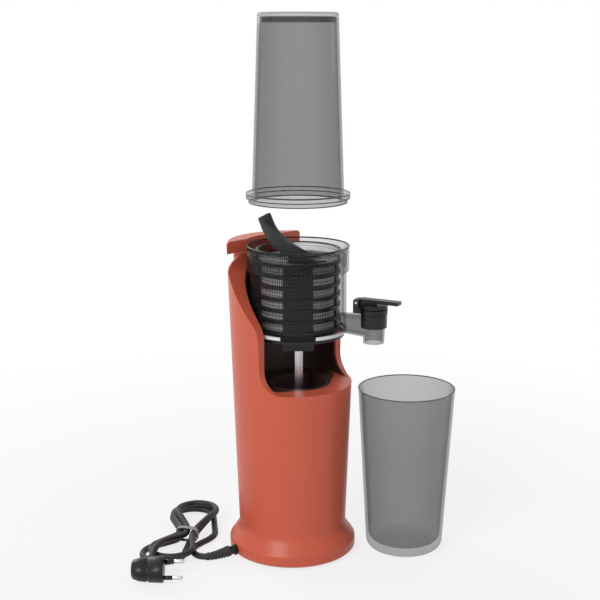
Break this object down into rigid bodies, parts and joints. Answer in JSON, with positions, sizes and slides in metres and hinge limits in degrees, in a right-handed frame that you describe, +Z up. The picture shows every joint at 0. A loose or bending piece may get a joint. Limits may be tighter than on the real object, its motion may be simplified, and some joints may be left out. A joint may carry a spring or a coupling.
{
  "type": "cold press juicer",
  "caption": "Upright slow juicer shown taken apart: coral motor column with scooped back wall, smoked pressing bowl with spout, feed hopper, tumbler and corded plug.",
  "frame": {"origin": "on the table under the motor column's own axis", "axes": "+Z up, -Y is the front where the bowl's scoop opens, +X to the right seen from the front"},
  "size_m": [0.302, 0.2795, 0.5349],
  "materials": {
    "coral_body": "satin-gloss coral moulding",
    "dark_liner": "dark satin moulding",
    "black_plastic": "black satin moulding",
    "black_rubber": "matt black rubber",
    "steel": "brushed steel",
    "smoked_clear": "smoked clear plastic",
    "motor_iron": "laminated iron",
    "copper": "varnished copper wire",
    "board": "green circuit board"
  },
  "bodies": {
    "base": {"body_housing": "coral_body", "cavity_liner": "dark_liner", "base_plate": "black_plastic", "rubber_feet": "black_rubber", "base_screws": "steel", "motor_can": "dark_liner", "motor_stator": "motor_iron", "motor_windings": "copper", "lower_bearing": "steel", "upper_bearing": "steel", "bearing_spider": "black_plastic", "gearbox_plate": "black_plastic", "gearbox_cover": "black_plastic", "output_bearing": "steel", "shaft_seal": "black_rubber", "idler_pin": "steel", "switch_frame": "black_plastic", "control_board": "board", "cord_gland": "black_rubber", "power_cord": "black_rubber", "cord_hank": "black_rubber", "cord_tie": "black_plastic", "plug_lead": "black_rubber", "plug_body": "black_plastic", "plug_pins": "steel"},
    "rotor": {"motor_rotor": "motor_iron", "motor_spindle": "steel", "motor_pinion": "steel"},
    "idler": {"idler_gear": "steel", "idler_pinion": "steel"},
    "drive": {"output_gear": "steel", "drive_shaft": "steel"},
    "bowl": {"juicing_bowl": "smoked_clear", "bowl_hub": "dark_liner", "bowl_foot_ring": "black_plastic", "strainer_cage": "dark_liner", "strainer_mesh": "steel", "juice_spout": "smoked_clear", "spout_collar": "black_plastic", "spout_hinge_pin": "steel"},
    "lid": {"bowl_lid": "smoked_clear"},
    "auger": {"auger": "dark_liner"},
    "cap": {"spout_cap": "black_plastic", "cap_seal": "black_rubber"},
    "hopper": {"feed_hopper": "smoked_clear"},
    "hopper_cap": {"hopper_cap": "smoked_clear"},
    "tumbler": {"tumbler": "smoked_clear"},
    "rocker": {"switch_rocker": "black_plastic"}
  },
  "joints": [
    {"name": "rotor_spin", "type": "hinge", "parent": "base", "child": "rotor", "pos_m": [0, -0.008, 0.045], "axis": [0, 0, 1], "continuous": true},
    {"name": "idler_spin", "type": "hinge", "parent": "base", "child": "idler", "pos_m": [0, 0.022, 0.1], "axis": [0, 0, 1], "continuous": true},
    {"name": "drive_spin", "type": "hinge", "parent": "base", "child": "drive", "pos_m": [0, -0.008, 0.11], "axis": [0, 0, 1], "continuous": true},
    {"name": "bowl_lift", "type": "slide", "parent": "base", "child": "bowl", "axis": [0, 0, 1], "range_m": [-0.049, 0.12]},
    {"name": "auger_spin", "type": "hinge", "parent": "bowl", "child": "auger", "pos_m": [0, -0.008, 0.25], "axis": [0, 0, 1], "continuous": true},
    {"name": "lid_lift", "type": "slide", "parent": "bowl", "child": "lid", "axis": [0, 0, 1], "range_m": [0, 0.04]},
    {"name": "hopper_lift", "type": "slide", "parent": "lid", "child": "hopper", "axis": [0, 0, 1], "range_m": [-0.046, 0.1]},
    {"name": "hopper_cap_lift", "type": "slide", "parent": "hopper", "child": "hopper_cap", "axis": [0, 0, 1], "range_m": [0, 0.04]},
    {"name": "spout_cap_hinge", "type": "hinge", "parent": "bowl", "child": "cap", "pos_m": [0.01713, -0.07194, 0.2648], "axis": [-0.9659, -0.2588, 0], "range_deg": [0, 100]},
    {"name": "tumbler_lift", "type": "slide", "parent": "base", "child": "tumbler", "axis": [0, 0, 1], "range_m": [0, 0.055]},
    {"name": "switch_rock", "type": "hinge", "parent": "base", "child": "rocker", "pos_m": [0, 0.05426, 0.062], "axis": [1, 0, 0], "range_deg": [-10, 10]}
  ],
  "couplings": [
    {"joint": "idler_spin", "follows": "rotor_spin", "ratio": -0.25},
    {"joint": "drive_spin", "follows": "rotor_spin", "ratio": 0.0625},
    {"joint": "auger_spin", "follows": "rotor_spin", "ratio": 0.0625}
  ]
}
